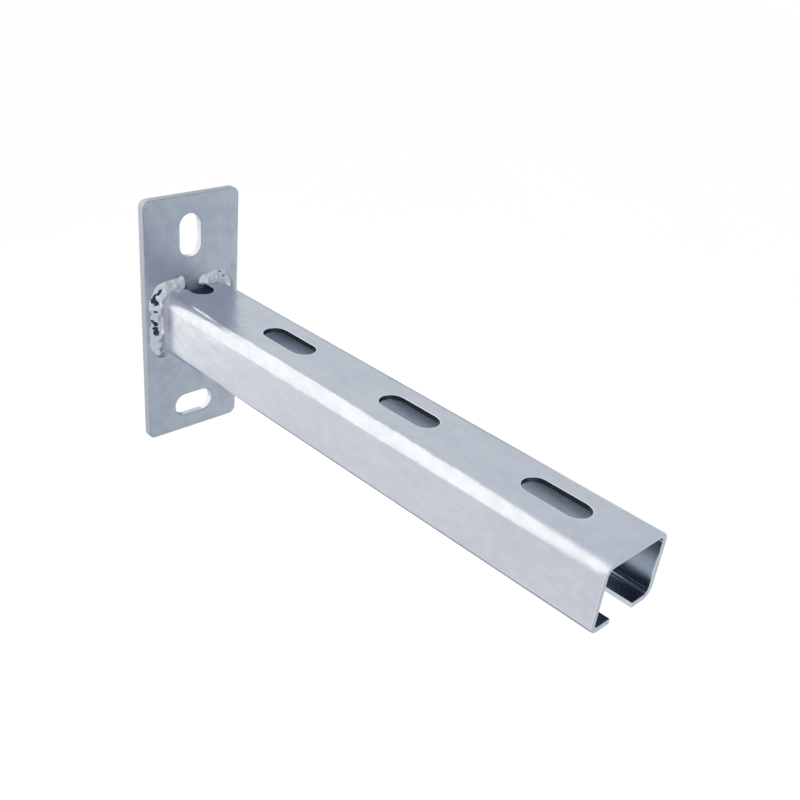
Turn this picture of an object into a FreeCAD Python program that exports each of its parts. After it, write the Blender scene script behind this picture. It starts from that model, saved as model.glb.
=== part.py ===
import FreeCAD, Part
import math
import os

# Cantilever strut arm: an open folded channel welded to a wall plate.
# All sizes are in millimetres. X runs along the arm away from the wall, Y runs
# across the arm and Z is up. The origin is the middle of the plate's back face.

# Wall plate
plate_width = 58.0
plate_height = 134.0
plate_thickness = 4.0
plate_corner_radius = 4.0
plate_edge_rounding = 0.5

# Fixing slots in the plate: the upper one stands upright, the lower one lies level
plate_slot_width = 13.0
upper_slot_length = 23.0
upper_slot_from_top = 21.3
upper_slot_shift = -1.0
lower_slot_length = 24.0
lower_slot_from_bottom = 15.0
lower_slot_shift = 0.4

# Folded channel, open side down
arm_reach = 290.0
arm_rise = 1.6
channel_width = 41.3
channel_height = 33.0
sheet_thickness = 2.5
outer_bend_radius = 5.0
lip_width = 13.0

# Row of slots punched in the web
web_slot_count = 4
web_slot_length = 33.0
web_slot_width = 13.0
web_slot_pitch = 83.0
last_web_slot_from_end = 40.5
web_slot_shift = 1.0
punched_rim_rounding = 0.5

# Weld beads, one on each side, with a gap between them over the first slot
bead_leg_on_plate = 6.0
bead_leg_on_arm = 3.4
bead_crest_share = 0.62
bead_gap_half_width = 3.6
bead_turn_under = 66.0
bead_end_taper = 3.5
bead_end_size = 0.3
bead_sink = 0.8
ripple_pitch = 2.8
ripple_depth = 0.05
wander_pitch = 19.0
wander_depth = 0.05
stations_per_ripple = 3

# Positions that follow from the sizes above
inner_bend_radius = outer_bend_radius - sheet_thickness
half_width = channel_width / 2
half_height = channel_height / 2
arm_top = arm_rise + half_height
arm_bottom = arm_rise - half_height
upper_slot_z = plate_height / 2 - upper_slot_from_top
lower_slot_z = lower_slot_from_bottom - plate_height / 2
last_web_slot_x = arm_reach - last_web_slot_from_end
cutter_overrun = 1.0
touching = 0.01

ALONG_ARM = FreeCAD.Vector(1, 0, 0)
ACROSS_ARM = FreeCAD.Vector(0, 1, 0)
UPWARDS = FreeCAD.Vector(0, 0, 1)


def unit(vector):
    """The vector of length one in the same direction."""
    return vector / vector.Length


def rounded_path(corners, radius):
    """Edges that follow a line of corners, with an arc of one radius at each corner between the ends."""
    edges = []
    begin = corners[0]
    for corner, after in zip(corners[1:-1], corners[2:]):
        coming = unit(corner - begin)
        going = unit(after - corner)
        arc_begin = corner - coming * radius
        arc_end = corner + going * radius
        centre = arc_begin + going * radius
        arc_middle = centre + unit(corner - centre) * radius
        edges.append(Part.makeLine(begin, arc_begin))
        edges.append(Part.Arc(arc_begin, arc_middle, arc_end).toShape())
        begin = arc_end
    edges.append(Part.makeLine(begin, corners[-1]))
    return edges


def slot_cutter(centre, along, through, length, width, depth):
    """A slot with round ends as a solid, from its centre on one face to a depth through the sheet."""
    aside = through.cross(along) * (width / 2)
    reach = along * ((length - width) / 2)
    tip = along * (length / 2)
    head_left = centre + reach - aside
    head_right = centre + reach + aside
    tail_left = centre - reach - aside
    tail_right = centre - reach + aside
    edges = [
        Part.makeLine(tail_left, head_left),
        Part.Arc(head_left, centre + tip, head_right).toShape(),
        Part.makeLine(head_right, tail_right),
        Part.Arc(tail_right, centre - tip, tail_left).toShape(),
    ]
    return Part.Face(Part.Wire(edges)).extrude(through * depth)


def edges_in_plane(shape, axis, position):
    """The edges that lie wholly in the plane at a position on one axis, 0 for X, 1 for Y and 2 for Z."""
    found = []
    for edge in shape.Edges:
        box = edge.BoundBox
        low = (box.XMin, box.YMin, box.ZMin)[axis]
        high = (box.XMax, box.YMax, box.ZMax)[axis]
        if abs(low - position) < touching and abs(high - position) < touching:
            found.append(edge)
    return found


def make_back_plate():
    """The flat wall plate with rounded corners and two fixing slots. Its front edges are eased by the press."""
    side = plate_width / 2
    end = plate_height / 2
    corners = [
        FreeCAD.Vector(0, 0, -end),
        FreeCAD.Vector(0, side, -end),
        FreeCAD.Vector(0, side, end),
        FreeCAD.Vector(0, -side, end),
        FreeCAD.Vector(0, -side, -end),
        FreeCAD.Vector(0, 0, -end),
    ]
    outline = Part.Wire(rounded_path(corners, plate_corner_radius))
    plate = Part.Face(outline).extrude(ALONG_ARM * plate_thickness)
    depth = plate_thickness + 2 * cutter_overrun
    upper_centre = FreeCAD.Vector(-cutter_overrun, upper_slot_shift, upper_slot_z)
    lower_centre = FreeCAD.Vector(-cutter_overrun, lower_slot_shift, lower_slot_z)
    upper = slot_cutter(
        upper_centre, UPWARDS, ALONG_ARM, upper_slot_length, plate_slot_width, depth
    )
    lower = slot_cutter(
        lower_centre, ACROSS_ARM, ALONG_ARM, lower_slot_length, plate_slot_width, depth
    )
    plate = plate.cut(upper).cut(lower)
    return plate.makeFillet(plate_edge_rounding, edges_in_plane(plate, 0, plate_thickness))


def channel_section():
    """The folded section as a face at the plate: web on top, walls down, lips turned in below."""

    def fold_corners(inset):
        """Corners of the outer side of the sheet, or of its inner side when inset by the thickness."""
        side = half_width - inset
        lip_tip = half_width - lip_width
        top = arm_top - inset
        bottom = arm_bottom + inset
        places = [
            (-lip_tip, bottom),
            (-side, bottom),
            (-side, top),
            (side, top),
            (side, bottom),
            (lip_tip, bottom),
        ]
        return [FreeCAD.Vector(plate_thickness, across, up) for across, up in places]

    outer = fold_corners(0.0)
    inner = fold_corners(sheet_thickness)
    edges = rounded_path(outer, outer_bend_radius)
    edges.append(Part.makeLine(outer[-1], inner[-1]))
    edges.extend(rounded_path(inner, inner_bend_radius))
    edges.append(Part.makeLine(inner[0], outer[0]))
    return Part.Face(Part.Wire(Part.__sortEdges__(edges)))


def make_strut_channel():
    """The folded channel with its row of web slots. The plate cuts off the start of the first slot."""
    channel = channel_section().extrude(ALONG_ARM * (arm_reach - plate_thickness))
    for number in range(web_slot_count):
        slot_x = last_web_slot_x - number * web_slot_pitch
        centre = FreeCAD.Vector(slot_x, web_slot_shift, arm_top + cutter_overrun)
        depth = sheet_thickness + 2 * cutter_overrun
        cutter = slot_cutter(
            centre, ALONG_ARM, -UPWARDS, web_slot_length, web_slot_width, depth
        )
        channel = channel.cut(cutter)
    flat_half = half_width - outer_bend_radius
    rims = [
        edge
        for edge in edges_in_plane(channel, 2, arm_top)
        if edge.BoundBox.YMax < flat_half - touching
        and edge.BoundBox.YMin > -flat_half + touching
    ]
    return channel.makeFillet(punched_rim_rounding, rims)


def around_arm(travel, side):
    """A point on the arm's outer surface at the plate, and the outward direction there.

    travel is the distance round the outline from the middle of the web's top, and side is -1 for
    the near half or 1 for the far half.
    """
    flat_half = half_width - outer_bend_radius
    quarter_bend = outer_bend_radius * math.pi / 2
    flat_wall = channel_height - 2 * outer_bend_radius
    wall_begin = flat_half + quarter_bend
    wall_end = wall_begin + flat_wall
    bend_up = half_height - outer_bend_radius
    if travel <= flat_half:
        turn = 0.0
        across = travel
        up = half_height
    elif travel <= wall_begin:
        turn = (travel - flat_half) / outer_bend_radius
        across = flat_half + outer_bend_radius * math.sin(turn)
        up = bend_up + outer_bend_radius * math.cos(turn)
    elif travel <= wall_end:
        turn = math.pi / 2
        across = half_width
        up = bend_up - (travel - wall_begin)
    else:
        turn = math.pi / 2 + (travel - wall_end) / outer_bend_radius
        across = flat_half + outer_bend_radius * math.sin(turn)
        up = outer_bend_radius * math.cos(turn) - bend_up
    point = FreeCAD.Vector(plate_thickness, side * across, arm_rise + up)
    outward = FreeCAD.Vector(0, side * math.sin(turn), math.cos(turn))
    return point, outward


def bead_length():
    """The distance round the outline from the middle of the web's top to a bead's lower end."""
    flat_half = half_width - outer_bend_radius
    turned = math.pi / 2 + math.radians(bead_turn_under)
    flat_wall = channel_height - 2 * outer_bend_radius
    return flat_half + flat_wall + outer_bend_radius * turned


def bead_size(travel, phase):
    """How large the bead is at a distance round the outline, as a share of its full size.

    It swells and sinks with each ripple, wanders slowly, and rounds off at both ends.
    """
    begin = bead_gap_half_width
    end = bead_length()
    ripple = ripple_depth * math.cos(2 * math.pi * travel / ripple_pitch + phase)
    wander = wander_depth * math.sin(2 * math.pi * travel / wander_pitch + phase)
    from_end = min(travel - begin, end - travel) / bead_end_taper
    rest = 1 - min(max(from_end, 0.0), 1.0)
    taper = bead_end_size + (1 - bead_end_size) * math.sqrt(1 - rest * rest)
    return (1 + ripple + wander) * taper


def bead_station(travel, side, phase):
    """One closed section of a bead: a convex crest from toe to toe, and straight sides sunk in the steel."""
    point, outward = around_arm(travel, side)
    size = bead_size(travel, phase)
    away = outward * bead_leg_on_plate * size
    along = ALONG_ARM * bead_leg_on_arm * size
    plate_toe = point + away
    arm_toe = point + along
    crest_top = point + (away + along) * bead_crest_share
    crest = Part.Arc(plate_toe, crest_top, arm_toe).toShape()
    arm_toe_sunk = arm_toe - outward * bead_sink
    root = point - ALONG_ARM * bead_sink - outward * bead_sink
    plate_toe_sunk = plate_toe - ALONG_ARM * bead_sink
    sides = Part.makePolygon([arm_toe, arm_toe_sunk, root, plate_toe_sunk, plate_toe])
    return Part.Wire([crest] + sides.Edges)


def make_weld_bead(side, phase, plate, channel):
    """A rippled fillet bead round half of the arm, cut to the faces of the plate and channel it joins."""
    begin = bead_gap_half_width
    run = bead_length() - begin
    count = int(round(run / ripple_pitch * stations_per_ripple))
    sections = []
    for number in range(count + 1):
        travel = begin + run * number / count
        sections.append(bead_station(travel, side, phase))
    bead = Part.makeLoft(sections, True, True)
    return bead.cut(plate).cut(channel)


def main():
    """Builds each piece and writes it to its own file."""
    os.makedirs("parts", exist_ok=True)
    plate = make_back_plate()
    channel = make_strut_channel()
    pieces = {
        "back_plate": plate,
        "strut_channel": channel,
        "near_weld_bead": make_weld_bead(-1, 0.6, plate, channel),
        "far_weld_bead": make_weld_bead(1, 2.4, plate, channel),
    }
    for name, shape in pieces.items():
        shape.exportStep("parts/" + name + ".step")


main()
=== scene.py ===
"""Looks of the cantilever strut arm: a zinc plated folded channel welded to a slotted wall plate.

Everything is in metres, in the part's own frame: X runs along the arm away from the wall, Y runs
across it and Z is up. The origin is the middle of the plate's back face.
"""

import logging
import math
from collections.abc import Sequence
from dataclasses import dataclass, field
from enum import Enum

import bmesh
import bpy
import numpy as np
import numpy.typing as npt
from mathutils import Matrix, Vector


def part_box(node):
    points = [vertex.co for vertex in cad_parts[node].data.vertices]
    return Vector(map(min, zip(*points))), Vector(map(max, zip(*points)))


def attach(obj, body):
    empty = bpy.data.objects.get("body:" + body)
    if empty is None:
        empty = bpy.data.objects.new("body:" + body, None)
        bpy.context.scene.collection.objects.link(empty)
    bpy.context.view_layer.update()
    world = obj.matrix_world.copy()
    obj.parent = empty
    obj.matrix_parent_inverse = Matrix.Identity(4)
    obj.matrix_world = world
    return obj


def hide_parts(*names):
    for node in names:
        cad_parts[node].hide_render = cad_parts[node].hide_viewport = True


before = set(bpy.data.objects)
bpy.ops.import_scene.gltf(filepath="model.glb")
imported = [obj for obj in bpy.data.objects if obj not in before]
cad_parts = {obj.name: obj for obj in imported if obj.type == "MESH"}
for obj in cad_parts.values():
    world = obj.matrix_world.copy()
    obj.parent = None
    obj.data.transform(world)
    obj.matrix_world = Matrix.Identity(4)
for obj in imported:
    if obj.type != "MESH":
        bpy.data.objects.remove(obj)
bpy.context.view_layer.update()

Array = npt.NDArray[np.float64]
Colour = tuple[float, float, float]
Place = tuple[float, float]
Span = tuple[float, float]
Socket = bpy.types.NodeSocket
Value = Socket | float

MM = 0.001
QUARTER_TURN = math.pi / 2
WHITE = (1.0, 1.0, 1.0, 1.0)
SEW_REACH = 0.002 * MM
ROUNDING = 1e-9
EASE_STEPS = 5
ROUND_STEPS = 8
FAR_FROM_RIM = 1.0
MIRRORED = np.array([-1.0, 1.0])
log = logging.getLogger("strut_arm")


class Side(Enum):
    """The half of the arm that a weld bead goes round, as the sign of Y there."""

    NEAR = -1.0
    FAR = 1.0


def run(begin: float, end: float, step: float) -> Array:
    """Evenly spaced values from one number to another, no further apart than a step.

    Args:
        begin: The first value.
        end: The last value.
        step: The widest spacing.

    Returns:
        The values, both ends among them.
    """
    count = max(1, math.ceil(abs(end - begin) / step - ROUNDING))
    return np.linspace(begin, end, count + 1)


def chain(*parts: Array) -> Array:
    """Joins runs of values or points end to end and drops what two neighbours share.

    Args:
        *parts: Values, or points in rows. Each part begins where the one before it ends.

    Returns:
        One array.
    """
    return np.concatenate([parts[0]] + [part[1:] for part in parts[1:]])


def through(stops: Sequence[float], step: float) -> Array:
    """Values that run through a row of stops, evenly spaced between each two.

    Args:
        stops: The numbers that are reached exactly.
        step: The widest spacing.

    Returns:
        The values.
    """
    return chain(*[run(begin, end, step) for begin, end in zip(stops, stops[1:])])


def points(*coordinates: Array | float) -> Array:
    """Points from their coordinates, each given for all points or as one number for all.

    Args:
        *coordinates: x, y and z, or the two coordinates of a flat drawing.

    Returns:
        Points, with their coordinates last.
    """
    return np.stack(np.broadcast_arrays(*coordinates), axis=-1)


def sweep(steps: int) -> Array:
    """Angles from 0 to a quarter turn, in radians."""
    return np.linspace(0.0, QUARTER_TURN, steps + 1)


def quarter(centre: Place, radius: float, begin: int) -> Array:
    """Points along a quarter circle in a flat drawing, anticlockwise.

    Args:
        centre: The circle's middle.
        radius: The circle's radius.
        begin: The direction of the first point from the middle, in quarter turns.

    Returns:
        Points in rows.
    """
    angle = begin * QUARTER_TURN + sweep(ROUND_STEPS)
    return np.array(centre) + radius * points(np.cos(angle), np.sin(angle))


def smooth_noise(across: Array, along: Array, cell: Place, seed: int) -> Array:
    """Soft random hills: heights on a square lattice, blended between its points by 3t2 - 2t3.

    Args:
        across: First coordinate of every point, as a grid.
        along: Second coordinate of every point, as a grid.
        cell: Spacing of the lattice in the two directions.
        seed: Number that picks the hills.

    Returns:
        Heights from -1 to 1, as a grid.
    """
    first = (across - across.min()) / cell[0]
    second = (along - along.min()) / cell[1]
    shape = (int(first.max()) + 2, int(second.max()) + 2)
    heights = np.random.default_rng(seed).uniform(-1.0, 1.0, shape)
    row, column = np.floor(first).astype(int), np.floor(second).astype(int)
    down, over = (t * t * (3 - 2 * t) for t in (first - row, second - column))
    upper = heights[row, column] * (1 - over) + heights[row, column + 1] * over
    lower = heights[row + 1, column] * (1 - over) + heights[row + 1, column + 1] * over
    return upper * (1 - down) + lower * down


@dataclass(frozen=True)
class EdgeForm:
    """The edge of a cut sheet: an eased front corner, a straight wall and a sharper back corner."""

    thickness: float
    front_ease: float
    back_ease: float

    def profile(self) -> tuple[Array, Array]:
        """Carries the section from the front face round to the back face.

        The front corner is a quarter circle, inset = ease (1 - sin a) and depth = ease (1 - cos a).
        The back corner is the same quarter circle turned over.

        Returns:
            How far each point lies inside the cut, and how deep below the front face.
        """
        angle = sweep(EASE_STEPS)
        to_wall, to_depth = 1 - np.sin(angle), 1 - np.cos(angle)
        inset = [self.front_ease * to_wall, self.back_ease * to_depth]
        depth = [self.front_ease * to_depth, self.thickness - self.back_ease * to_wall]
        return np.concatenate(inset), np.concatenate(depth)


@dataclass
class Patchwork:
    """Grids of points that are sewn into one mesh along their shared borders."""

    grids: list[Array] = field(default_factory=list)
    carried: dict[str, list[Array]] = field(default_factory=dict)

    def lay(self, grid: Array, **numbers: Array | float) -> None:
        """Adds one grid.

        Args:
            grid: Points in rows and columns, with x, y and z last.
            **numbers: Numbers carried by each point, or one for all of them, under their names.
        """
        self.grids.append(grid)
        for name, number in numbers.items():
            spread = np.broadcast_to(np.asarray(number, float), grid.shape[:2])
            self.carried.setdefault(name, []).append(spread.ravel())

    def sew(self, name: str) -> bpy.types.Object:
        """Makes the mesh: a face between each four neighbours, with shared borders merged.

        Args:
            name: The piece's name.

        Returns:
            The piece, with smooth faces that point outwards.
        """
        faces = []
        count = 0
        for grid in self.grids:
            rows, columns = grid.shape[:2]
            index = count + np.arange(rows * columns).reshape(rows, columns)
            corners = [index[:-1, :-1], index[1:, :-1], index[1:, 1:], index[:-1, 1:]]
            faces.append(np.stack(corners, axis=-1).reshape(-1, 4))
            count += rows * columns
        places = np.concatenate([grid.reshape(-1, 3) for grid in self.grids])
        mesh = bpy.data.meshes.new(name)
        mesh.from_pydata(places.tolist(), [], np.concatenate(faces).tolist())
        for key, numbers in self.carried.items():
            attribute = mesh.attributes.new(key, "FLOAT", "POINT")
            attribute.data.foreach_set("value", np.concatenate(numbers).astype(np.float32))
        sewing = bmesh.new()
        sewing.from_mesh(mesh)
        bmesh.ops.remove_doubles(sewing, verts=sewing.verts, dist=SEW_REACH)
        bmesh.ops.recalc_face_normals(sewing, faces=sewing.faces)
        sewing.to_mesh(mesh)
        sewing.free()
        mesh.shade_smooth()
        piece = bpy.data.objects.new(name, mesh)
        bpy.context.scene.collection.objects.link(piece)
        return piece


@dataclass(frozen=True)
class RoundSlot:
    """A punched slot with round ends, in the flat drawing of its sheet."""

    centre: Place
    along: Place
    length: float
    width: float
    shares: tuple[float, ...] = (1.0, 0.78, 0.58, 0.41, 0.27, 0.16, 0.08, 0.03)

    @property
    def reach(self) -> float:
        """Half the length of the slot's straight part."""
        return (self.length - self.width) / 2

    @property
    def ends(self) -> tuple[float, float]:
        """Where the slot's straight part begins and ends, in the slot's own direction."""
        middle = float(np.dot(self.centre, self.along))
        return middle - self.reach, middle + self.reach

    def tile(self, border: Array, edge: EdgeForm) -> tuple[Array, Array, Array]:
        """The sheet round the slot: its front face, the slot's wall and its back face as one grid.

        Each border point looks at the nearest point of the slot's middle line. The rim point lies
        half a slot width from that point in the same direction, and the front and back faces are
        blended straight from rim to border by the shares.

        Args:
            border: Points in rows along the tile's border.
            edge: The form of the slot's rim.

        Returns:
            Flat points in rows and columns, their depth, and their distance from the front rim.
        """
        along = np.array(self.along)
        offset = border - np.array(self.centre)
        core = np.clip(offset @ along, -self.reach, self.reach)[:, None] * along
        sight = offset - core
        outward = sight / np.linalg.norm(sight, axis=1, keepdims=True)
        rim = np.array(self.centre) + core + outward * self.width / 2
        shares = np.array(self.shares)[:, None, None]
        inset, depth = edge.profile()
        round_edge = rim + outward * inset[:, None, None]
        front = round_edge[0] + (border - round_edge[0]) * shares
        back = round_edge[-1] + (border - round_edge[-1]) * shares[::-1]
        flat = np.concatenate([front, round_edge, back])
        faces = np.zeros(len(shares)), np.full(len(shares), edge.thickness)
        depths = np.concatenate([faces[0], depth, faces[1]])
        depth = np.repeat(depths[:, None], len(border), axis=1)
        return flat, depth, np.hypot(np.linalg.norm(flat - rim, axis=-1), depth)


@dataclass
class Fold:
    """The folded section, unrolled: a flat sheet wrapped round the channel's outline.

    Distances round the outline are measured on its outer face, from the middle of the web.
    """

    half_width: float
    half_height: float
    rise: float
    upper_radius: float = 5.8 * MM
    lower_radius: float = 5.0 * MM
    lip_width: float = 13.0 * MM

    def __post_init__(self) -> None:
        """Works out half the flat web, where wall and lip begin, and half the unrolled sheet."""
        radii = self.upper_radius + self.lower_radius
        self.flat_half = self.half_width - self.upper_radius
        self.wall_begin = self.flat_half + self.upper_radius * QUARTER_TURN
        self.wall_end = self.wall_begin + 2 * self.half_height - radii
        self.lip_begin = self.wall_end + self.lower_radius * QUARTER_TURN
        self.sheet_half = self.lip_begin + self.lip_width - self.lower_radius

    def bends(self, travel: Array) -> tuple[Array, Array]:
        """How far the sheet has turned in each bend.

        Args:
            travel: Distances round the outline.

        Returns:
            Angles in the upper and the lower bend, 0 before it and a quarter turn after it.
        """
        upper = np.clip((travel - self.flat_half) / self.upper_radius, 0.0, QUARTER_TURN)
        lower = np.clip((travel - self.wall_end) / self.lower_radius, 0.0, QUARTER_TURN)
        return upper, lower

    def outward(self, across: Array) -> Array:
        """The outward direction of the sheet, turned from straight up by both bends.

        Args:
            across: Signed distances round the outline.

        Returns:
            Unit vectors, with x, y and z last.
        """
        turn = sum(self.bends(np.abs(across)))
        return points(0.0, np.sign(across) * np.sin(turn), np.cos(turn))

    def wrap(self, along: Array | float, across: Array, depth: Array | float) -> Array:
        """Puts points of the flat sheet where the folded channel has them.

        A point goes along the flat web, round a bend on a circle, down the wall, round the lower
        bend and in along the lip, and then inwards by its depth.

        Args:
            along: Distances along the arm.
            across: Signed distances round the outline.
            depth: Depths below the outer face.

        Returns:
            Points with x, y and z last.
        """
        along, across, depth = np.broadcast_arrays(along, across, depth)
        travel = np.abs(across)
        upper, lower = self.bends(travel)
        aside = np.minimum(travel, self.flat_half) + self.upper_radius * np.sin(upper)
        aside = aside - self.lower_radius * (1 - np.cos(lower))
        aside = aside - np.maximum(travel - self.lip_begin, 0.0)
        fallen = self.upper_radius * (1 - np.cos(upper)) + self.lower_radius * np.sin(lower)
        fallen = fallen + np.clip(travel, self.wall_begin, self.wall_end) - self.wall_begin
        height = self.rise + self.half_height - fallen
        outer = points(along, np.where(across < 0, -aside, aside), height)
        return outer - self.outward(across) * depth[..., None]


class Canvas:
    """A material's node tree, written from its coordinates to its surface."""

    def __init__(self, name: str, tone: Colour, metallic: float = 1.0) -> None:
        """Starts a material with a lone surface.

        Args:
            name: The material's name.
            tone: The colour that all others are laid on.
            metallic: 1 for metal, 0 for anything else.
        """
        self.colour: Socket | Colour = tone
        self.roughness: Value = 0.0
        self.material = bpy.data.materials.new(name)
        self.material.use_nodes = True
        self.tree = self.material.node_tree
        self.surface = self.tree.nodes["Principled BSDF"]
        self.surface.inputs["Metallic"].default_value = metallic
        self.coordinates = self.tree.nodes.new("ShaderNodeTexCoord").outputs["Object"]
        self.place = self.node("ShaderNodeSeparateXYZ", {0: self.coordinates}).outputs

    def node(self, kind: str, inputs: dict[str | int, object], **options: object) -> bpy.types.Node:
        """Adds a node.

        Args:
            kind: The node's type.
            inputs: Values or sockets for its inputs, by name or number.
            **options: Values of the node's own settings.

        Returns:
            The node.
        """
        made = self.tree.nodes.new(kind)
        for option, value in options.items():
            setattr(made, option, value)
        for key, value in inputs.items():
            if isinstance(value, Socket):
                self.tree.links.new(value, made.inputs[key])
            else:
                made.inputs[key].default_value = value
        return made

    def noise(
        self, size: float, stretch: float = 1.0, detail: float = 3.0, shift: float = 0.0
    ) -> Socket:
        """A cloudy pattern with values around 0.5.

        Args:
            size: Width of one cloud, in metres.
            stretch: How many times longer the clouds are along the arm.
            detail: How many finer layers the clouds have.
            shift: Distance by which the pattern is moved, so that two patterns differ.

        Returns:
            The pattern.
        """
        moved = {"Scale": (1 / stretch, 1.0, 1.0), "Location": (shift, shift, shift)}
        place = self.node("ShaderNodeMapping", {"Vector": self.coordinates, **moved}).outputs[0]
        inputs = {"Vector": place, "Scale": 1 / size, "Detail": detail}
        return self.node("ShaderNodeTexNoise", inputs).outputs[0]

    def ramp(self, value: Socket | str, span: Span, low: float = 0.0, high: float = 1.0) -> Socket:
        """Maps a span of values smoothly to another.

        Args:
            value: The value to map, or a coordinate's name.
            span: The span that is mapped.
            low: The result at and below the span.
            high: The result at and above the span.

        Returns:
            The mapped value.
        """
        inputs = {"Value": self.place[value] if isinstance(value, str) else value}
        inputs |= {"From Min": span[0], "From Max": span[1], "To Min": low, "To Max": high}
        return self.node("ShaderNodeMapRange", inputs, interpolation_type="SMOOTHSTEP").outputs[0]

    def maths(self, operation: str, first: Value, *others: Value) -> Socket:
        """A sum, product or other simple operation, carried on from value to value.

        Args:
            operation: The operation's name.
            first: The first value.
            *others: The values after it.

        Returns:
            The result.
        """
        for other in others:
            made = self.node("ShaderNodeMath", {0: first, 1: other}, operation=operation)
            first = made.outputs[0]
        return first

    def off_middle(self, axis: str, middle: float = 0.0) -> Socket:
        """How far a coordinate is from a middle, whichever way."""
        return self.maths("ABSOLUTE", self.maths("SUBTRACT", self.place[axis], middle), 0.0)

    def gap(self, place: tuple[float, float, float]) -> Socket:
        """The distance from a place."""
        inputs = {0: self.coordinates, 1: place}
        return self.node("ShaderNodeVectorMath", inputs, operation="DISTANCE").outputs["Value"]

    def mix(self, share: Socket, first: Socket | Colour, second: Socket | Colour) -> Socket:
        """Blends two colours.

        Args:
            share: How much of the second colour shows.
            first: The first colour.
            second: The second colour.

        Returns:
            The blend.
        """
        colours = [c if isinstance(c, Socket) else (*c, 1.0) for c in (first, second)]
        inputs = {0: share, 6: colours[0], 7: colours[1]}
        return self.node("ShaderNodeMix", inputs, data_type="RGBA").outputs[2]

    def tint(self, share: Socket, tone: Socket | Colour) -> None:
        """Lays a tone on the colour so far, as much as the share says."""
        self.colour = self.mix(share, self.colour, tone)

    def roughen(self, *values: Socket) -> None:
        """Makes the surface at least as rough as each value."""
        self.roughness = self.maths("MAXIMUM", self.roughness, *values)

    def attribute(self, name: str) -> Socket:
        """The number that the mesh carries under a name."""
        return self.node("ShaderNodeAttribute", {}, attribute_name=name).outputs["Fac"]

    def bump(
        self, height: Socket, distance: float, under: Socket | None = None, strength: Value = 1.0
    ) -> Socket:
        """Relief from a height.

        Args:
            height: The height, about 0 to 1.
            distance: The relief's height in metres.
            under: The relief below it, if there is one.
            strength: How much of the relief shows, 0 to 1.

        Returns:
            The direction of the surface.
        """
        inputs = {"Height": height, "Distance": distance, "Strength": strength}
        if under is not None:
            inputs["Normal"] = under
        return self.node("ShaderNodeBump", inputs).outputs["Normal"]

    def finish(self, normal: Socket) -> bpy.types.Material:
        """Joins the colour, the roughness and the relief to the surface.

        Args:
            normal: The relief.

        Returns:
            The material.
        """
        last = {"Base Color": self.colour, "Roughness": self.roughness, "Normal": normal}
        for key, value in last.items():
            self.tree.links.new(value, self.surface.inputs[key])
        return self.material


@dataclass(frozen=True)
class ZincFinish:
    """Bright zinc plating on sheet: bluish, satin and a little cloudy, with a painted shading tone
    at rims.
    """

    name: str
    tone: Colour
    shade: Colour
    rim_shading_tone: Colour
    cut_tone: Colour
    smoothest: float
    roughest: float
    cloud: float
    wave_height: float
    rim_width: float
    rim_share: float = 0.85
    cut_roughness: float = 0.5
    mottle_span: Span = (0.78, 1.22)
    smear_span: Span = (0.3, 0.7)
    cut_front_span: Span = (0.05, 0.15)
    cut_back_span: Span = (0.88, 0.98)
    grain: float = 0.35 * MM
    grain_height: float = 0.0015 * MM

    def build(self) -> bpy.types.Material:
        """Makes the material.

        Returns:
            Metal whose colour and roughness drift in clouds, with slow waves and a fine grain.
        """
        canvas = Canvas(self.name, self.tone)
        clouds = canvas.noise(self.cloud, stretch=2.0, detail=4.0)
        smears = canvas.noise(self.cloud / 3, stretch=1.4, detail=5.0, shift=0.31)
        canvas.tint(canvas.ramp(canvas.maths("ADD", clouds, smears), self.mottle_span), self.shade)
        # Rim tone: on the plate a painted dark reflection; on the channel a pale tone, partly zinc
        # built up at the edges and partly painted highlight.
        from_rim = canvas.attribute("rim_distance")
        rim = canvas.ramp(from_rim, (0.0, self.rim_width), self.rim_share, 0.0)
        canvas.tint(rim, self.rim_shading_tone)
        canvas.roughness = canvas.ramp(smears, self.smear_span, self.smoothest, self.roughest)
        self.weather(canvas)
        waves = canvas.noise(self.cloud / 2, stretch=1.6, detail=1.5, shift=0.57)
        relief = self.relief(canvas, waves)
        grain = canvas.noise(self.grain, stretch=2.5, detail=2.0)
        return canvas.finish(canvas.bump(grain, self.grain_height, relief))

    def relief(self, canvas: Canvas, waves: Socket) -> Socket:
        """The slow waves of the sheet."""
        return canvas.bump(waves, self.wave_height)

    def weather(self, canvas: Canvas, share: Value = 1.0) -> None:
        """Dulls the sheared and punched walls, fading out at the outer and inner faces.

        Args:
            canvas: The material being made.
            share: How much of it shows.
        """
        depth = canvas.attribute("sheet_depth")
        below_front = canvas.ramp(depth, self.cut_front_span)
        before_back = canvas.ramp(depth, self.cut_back_span, 1.0, 0.0)
        sheared = canvas.attribute("sheared")
        cut = canvas.maths("MULTIPLY", below_front, before_back, sheared, share)
        canvas.tint(cut, self.cut_tone)
        canvas.roughen(canvas.maths("MULTIPLY", cut, self.cut_roughness))


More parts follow.
